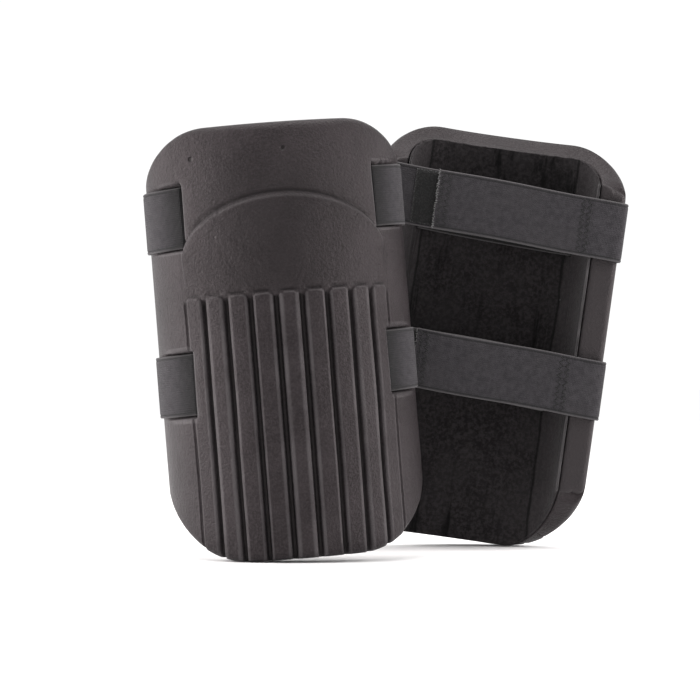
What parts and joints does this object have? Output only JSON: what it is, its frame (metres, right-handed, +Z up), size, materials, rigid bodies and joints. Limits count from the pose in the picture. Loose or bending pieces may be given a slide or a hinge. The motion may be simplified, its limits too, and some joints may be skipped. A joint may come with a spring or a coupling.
{
  "type": "knee pads",
  "caption": "Pair of moulded foam knee pads with ribbed faces, soft liners and elastic hook-and-loop straps threaded through slots.",
  "frame": {"origin": "bottom centre of the pair's bounding box, on the ground", "axes": "+X to the right across the pair, +Y from the front pad to the rear pad, +Z up"},
  "size_m": [0.31, 0.184, 0.2746],
  "materials": {
    "foam": "closed-cell moulded foam with a fine matt skin",
    "liner": "brushed, fuzzy lining cloth bonded to the foam",
    "elastic": "ribbed woven elastic webbing with a selvedge on each side",
    "hook": "stiff hook tape",
    "loop": "soft loop tape"
  },
  "bodies": {
    "front_pad": {"front_pad_foam_shell": "foam", "front_pad_liner": "liner", "front_pad_upper_band": "elastic", "front_pad_lower_band": "elastic"},
    "front_upper_over_arm": {"front_pad_upper_over_arm": "elastic", "front_pad_upper_hook_patch": "hook"},
    "front_upper_under_arm": {"front_pad_upper_under_arm": "elastic", "front_pad_upper_loop_patch": "loop"},
    "front_lower_over_arm": {"front_pad_lower_over_arm": "elastic", "front_pad_lower_hook_patch": "hook"},
    "front_lower_under_arm": {"front_pad_lower_under_arm": "elastic", "front_pad_lower_loop_patch": "loop"},
    "rear_pad": {"rear_pad_foam_shell": "foam", "rear_pad_liner": "liner", "rear_pad_upper_band": "elastic", "rear_pad_lower_band": "elastic"},
    "rear_upper_over_arm": {"rear_pad_upper_over_arm": "elastic", "rear_pad_upper_hook_patch": "hook"},
    "rear_upper_under_arm": {"rear_pad_upper_under_arm": "elastic", "rear_pad_upper_loop_patch": "loop"},
    "rear_lower_over_arm": {"rear_pad_lower_over_arm": "elastic", "rear_pad_lower_hook_patch": "hook"},
    "rear_lower_under_arm": {"rear_pad_lower_under_arm": "elastic", "rear_pad_lower_loop_patch": "loop"}
  },
  "joints": [
    {"name": "front_upper_strap_opens", "type": "hinge", "parent": "front_pad", "child": "front_upper_over_arm", "pos_m": [-0.15219, -0.02611, 0.21056], "axis": [-0.0785, 0, 0.9969], "range_deg": [0, 120]},
    {"name": "front_upper_under_arm_swings", "type": "hinge", "parent": "front_pad", "child": "front_upper_under_arm", "pos_m": [0.0079, -0.01206, 0.22316], "axis": [0.0785, 0, -0.9969], "range_deg": [0, 30]},
    {"name": "front_lower_strap_opens", "type": "hinge", "parent": "front_pad", "child": "front_lower_over_arm", "pos_m": [-0.14415, -0.02611, 0.10838], "axis": [-0.0785, 0, 0.9969], "range_deg": [0, 120]},
    {"name": "front_lower_under_arm_swings", "type": "hinge", "parent": "front_pad", "child": "front_lower_under_arm", "pos_m": [0.01594, -0.01206, 0.12098], "axis": [0.0785, 0, -0.9969], "range_deg": [0, 30]},
    {"name": "rear_upper_strap_opens", "type": "hinge", "parent": "rear_pad", "child": "rear_upper_over_arm", "pos_m": [0.15159, 0.01932, 0.20714], "axis": [0.1392, 0, 0.9903], "range_deg": [0, 120]},
    {"name": "rear_upper_under_arm_swings", "type": "hinge", "parent": "rear_pad", "child": "rear_upper_under_arm", "pos_m": [-0.00804, 0.01932, 0.22957], "axis": [-0.1392, 0, -0.9903], "range_deg": [0, 30]},
    {"name": "rear_lower_strap_opens", "type": "hinge", "parent": "rear_pad", "child": "rear_lower_over_arm", "pos_m": [0.13732, 0.01932, 0.10564], "axis": [0.1392, 0, 0.9903], "range_deg": [0, 120]},
    {"name": "rear_lower_under_arm_swings", "type": "hinge", "parent": "rear_pad", "child": "rear_lower_under_arm", "pos_m": [-0.02231, 0.01932, 0.12807], "axis": [-0.1392, 0, -0.9903], "range_deg": [0, 30]},
    {"name": "pads_apart", "type": "slide", "parent": "front_pad", "child": "rear_pad", "axis": [1, 0, 0], "range_m": [0, 0.12]}
  ],
  "couplings": [
    {"joint": "front_upper_under_arm_swings", "follows": "front_upper_strap_opens", "ratio": 0.25},
    {"joint": "front_lower_under_arm_swings", "follows": "front_lower_strap_opens", "ratio": 0.25},
    {"joint": "rear_upper_under_arm_swings", "follows": "rear_upper_strap_opens", "ratio": 0.25},
    {"joint": "rear_lower_under_arm_swings", "follows": "rear_lower_strap_opens", "ratio": 0.25}
  ]
}
